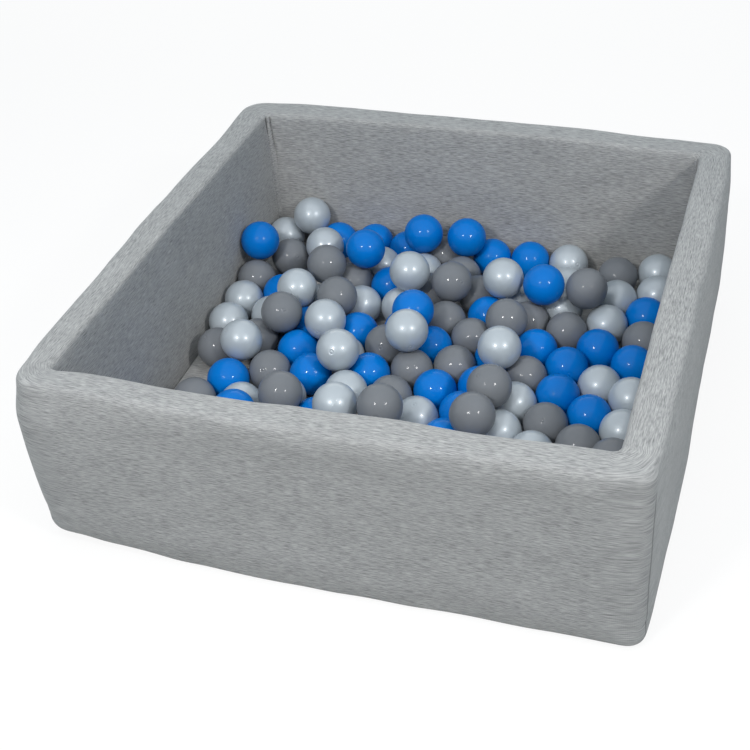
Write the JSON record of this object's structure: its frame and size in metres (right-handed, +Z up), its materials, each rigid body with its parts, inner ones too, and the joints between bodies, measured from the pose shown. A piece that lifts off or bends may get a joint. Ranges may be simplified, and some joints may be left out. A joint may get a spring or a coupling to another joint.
{
  "type": "ball pit",
  "caption": "Square foam ball pit: padded walls and floor in a grey melange cover with a zip, holding a bed of blue, grey and pearl play balls.",
  "frame": {"origin": "middle of the underside", "axes": "+X along the front wall to the right, +Y from the front wall to the back wall, +Z up"},
  "size_m": [0.9, 0.9064, 0.3],
  "materials": {
    "cover": "light grey melange cotton jersey",
    "foam": "open-cell polyurethane foam",
    "zip_tape": "woven tape and nylon coil",
    "zip_metal": "plated zinc",
    "ball_blue": "glossy blown polyethylene",
    "ball_grey": "glossy blown polyethylene",
    "ball_pearl": "pearly blown polyethylene",
    "balls_joined": "glossy blown polyethylene in three colours"
  },
  "bodies": {
    "pit": {"cover_front": "cover", "cover_back": "cover", "cover_left": "cover", "cover_right": "cover", "cover_floor": "cover", "cover_base": "cover", "foam_wall_front": "foam", "foam_wall_back": "foam", "foam_wall_left": "foam", "foam_wall_right": "foam", "foam_floor": "foam", "zip_tape_upper": "zip_tape", "zip_tape_lower": "zip_tape", "zip_coil_upper": "zip_tape", "zip_coil_lower": "zip_tape", "zip_stop_left": "zip_metal", "zip_stop_right": "zip_metal", "ball_cluster_01": "balls_joined", "ball_cluster_02": "balls_joined", "ball_cluster_03": "balls_joined", "ball_cluster_04": "balls_joined", "ball_cluster_05": "balls_joined", "ball_cluster_06": "balls_joined", "ball_cluster_07": "balls_joined", "ball_cluster_08": "balls_joined", "ball_cluster_09": "balls_joined", "ball_cluster_10": "balls_joined", "ball_cluster_11": "balls_joined", "ball_cluster_12": "balls_joined", "ball_cluster_13": "balls_joined", "ball_cluster_14": "balls_joined", "ball_cluster_15": "balls_joined"},
    "slider": {"zip_slider": "zip_metal"},
    "pull_tab": {"zip_pull_tab": "zip_metal"},
    "pearl_ball_01": {"pearl_ball_01": "ball_pearl"},
    "blue_ball_01": {"blue_ball_01": "ball_blue"},
    "pearl_ball_02": {"pearl_ball_02": "ball_pearl"},
    "grey_ball_01": {"grey_ball_01": "ball_grey"},
    "blue_ball_02": {"blue_ball_02": "ball_blue"},
    "blue_ball_03": {"blue_ball_03": "ball_blue"},
    "pearl_ball_03": {"pearl_ball_03": "ball_pearl"},
    "grey_ball_02": {"grey_ball_02": "ball_grey"},
    "pearl_ball_04": {"pearl_ball_04": "ball_pearl"},
    "grey_ball_03": {"grey_ball_03": "ball_grey"},
    "pearl_ball_05": {"pearl_ball_05": "ball_pearl"},
    "pearl_ball_06": {"pearl_ball_06": "ball_pearl"},
    "pearl_ball_07": {"pearl_ball_07": "ball_pearl"},
    "pearl_ball_08": {"pearl_ball_08": "ball_pearl"},
    "grey_ball_04": {"grey_ball_04": "ball_grey"},
    "pearl_ball_09": {"pearl_ball_09": "ball_pearl"},
    "grey_ball_05": {"grey_ball_05": "ball_grey"},
    "blue_ball_04": {"blue_ball_04": "ball_blue"},
    "grey_ball_06": {"grey_ball_06": "ball_grey"},
    "pearl_ball_10": {"pearl_ball_10": "ball_pearl"},
    "blue_ball_05": {"blue_ball_05": "ball_blue"},
    "grey_ball_07": {"grey_ball_07": "ball_grey"},
    "grey_ball_08": {"grey_ball_08": "ball_grey"},
    "pearl_ball_11": {"pearl_ball_11": "ball_pearl"},
    "grey_ball_09": {"grey_ball_09": "ball_grey"},
    "grey_ball_10": {"grey_ball_10": "ball_grey"}
  },
  "joints": [
    {"name": "zip_slide", "type": "slide", "parent": "pit", "child": "slider", "axis": [-1, 0, 0], "range_m": [0, 0.6788]},
    {"name": "pull_tab_hinge", "type": "hinge", "parent": "slider", "child": "pull_tab", "pos_m": [0.3394, 0.4539, 0.05], "axis": [0, 0, -1], "range_deg": [0, 180]},
    {"name": "pearl_ball_01_lift", "type": "slide", "parent": "pit", "child": "pearl_ball_01", "axis": [0, 0, 1], "range_m": [0, 0.26]},
    {"name": "blue_ball_01_lift", "type": "slide", "parent": "pit", "child": "blue_ball_01", "axis": [0, 0, 1], "range_m": [0, 0.26]},
    {"name": "pearl_ball_02_lift", "type": "slide", "parent": "pit", "child": "pearl_ball_02", "axis": [0, 0, 1], "range_m": [0, 0.26]},
    {"name": "grey_ball_01_lift", "type": "slide", "parent": "pit", "child": "grey_ball_01", "axis": [0, 0, 1], "range_m": [0, 0.26]},
    {"name": "blue_ball_02_lift", "type": "slide", "parent": "pit", "child": "blue_ball_02", "axis": [0, 0, 1], "range_m": [0, 0.26]},
    {"name": "blue_ball_03_lift", "type": "slide", "parent": "pit", "child": "blue_ball_03", "axis": [0, 0, 1], "range_m": [0, 0.26]},
    {"name": "pearl_ball_03_lift", "type": "slide", "parent": "pit", "child": "pearl_ball_03", "axis": [0, 0, 1], "range_m": [0, 0.26]},
    {"name": "grey_ball_02_lift", "type": "slide", "parent": "pit", "child": "grey_ball_02", "axis": [0, 0, 1], "range_m": [0, 0.26]},
    {"name": "pearl_ball_04_lift", "type": "slide", "parent": "pit", "child": "pearl_ball_04", "axis": [0, 0, 1], "range_m": [0, 0.26]},
    {"name": "grey_ball_03_lift", "type": "slide", "parent": "pit", "child": "grey_ball_03", "axis": [0, 0, 1], "range_m": [0, 0.26]},
    {"name": "pearl_ball_05_lift", "type": "slide", "parent": "pit", "child": "pearl_ball_05", "axis": [0, 0, 1], "range_m": [0, 0.26]},
    {"name": "pearl_ball_06_lift", "type": "slide", "parent": "pit", "child": "pearl_ball_06", "axis": [0, 0, 1], "range_m": [0, 0.26]},
    {"name": "pearl_ball_07_lift", "type": "slide", "parent": "pit", "child": "pearl_ball_07", "axis": [0, 0, 1], "range_m": [0, 0.26]},
    {"name": "pearl_ball_08_lift", "type": "slide", "parent": "pit", "child": "pearl_ball_08", "axis": [0, 0, 1], "range_m": [0, 0.26]},
    {"name": "grey_ball_04_lift", "type": "slide", "parent": "pit", "child": "grey_ball_04", "axis": [0, 0, 1], "range_m": [0, 0.26]},
    {"name": "pearl_ball_09_lift", "type": "slide", "parent": "pit", "child": "pearl_ball_09", "axis": [0, 0, 1], "range_m": [0, 0.26]},
    {"name": "grey_ball_05_lift", "type": "slide", "parent": "pit", "child": "grey_ball_05", "axis": [0, 0, 1], "range_m": [0, 0.26]},
    {"name": "blue_ball_04_lift", "type": "slide", "parent": "pit", "child": "blue_ball_04", "axis": [0, 0, 1], "range_m": [0, 0.26]},
    {"name": "grey_ball_06_lift", "type": "slide", "parent": "pit", "child": "grey_ball_06", "axis": [0, 0, 1], "range_m": [0, 0.26]},
    {"name": "pearl_ball_10_lift", "type": "slide", "parent": "pit", "child": "pearl_ball_10", "axis": [0, 0, 1], "range_m": [0, 0.26]},
    {"name": "blue_ball_05_lift", "type": "slide", "parent": "pit", "child": "blue_ball_05", "axis": [0, 0, 1], "range_m": [0, 0.26]},
    {"name": "grey_ball_07_lift", "type": "slide", "parent": "pit", "child": "grey_ball_07", "axis": [0, 0, 1], "range_m": [0, 0.26]},
    {"name": "grey_ball_08_lift", "type": "slide", "parent": "pit", "child": "grey_ball_08", "axis": [0, 0, 1], "range_m": [0, 0.26]},
    {"name": "pearl_ball_11_lift", "type": "slide", "parent": "pit", "child": "pearl_ball_11", "axis": [0, 0, 1], "range_m": [0, 0.26]},
    {"name": "grey_ball_09_lift", "type": "slide", "parent": "pit", "child": "grey_ball_09", "axis": [0, 0, 1], "range_m": [0, 0.26]},
    {"name": "grey_ball_10_lift", "type": "slide", "parent": "pit", "child": "grey_ball_10", "axis": [0, 0, 1], "range_m": [0, 0.26]}
  ]
}
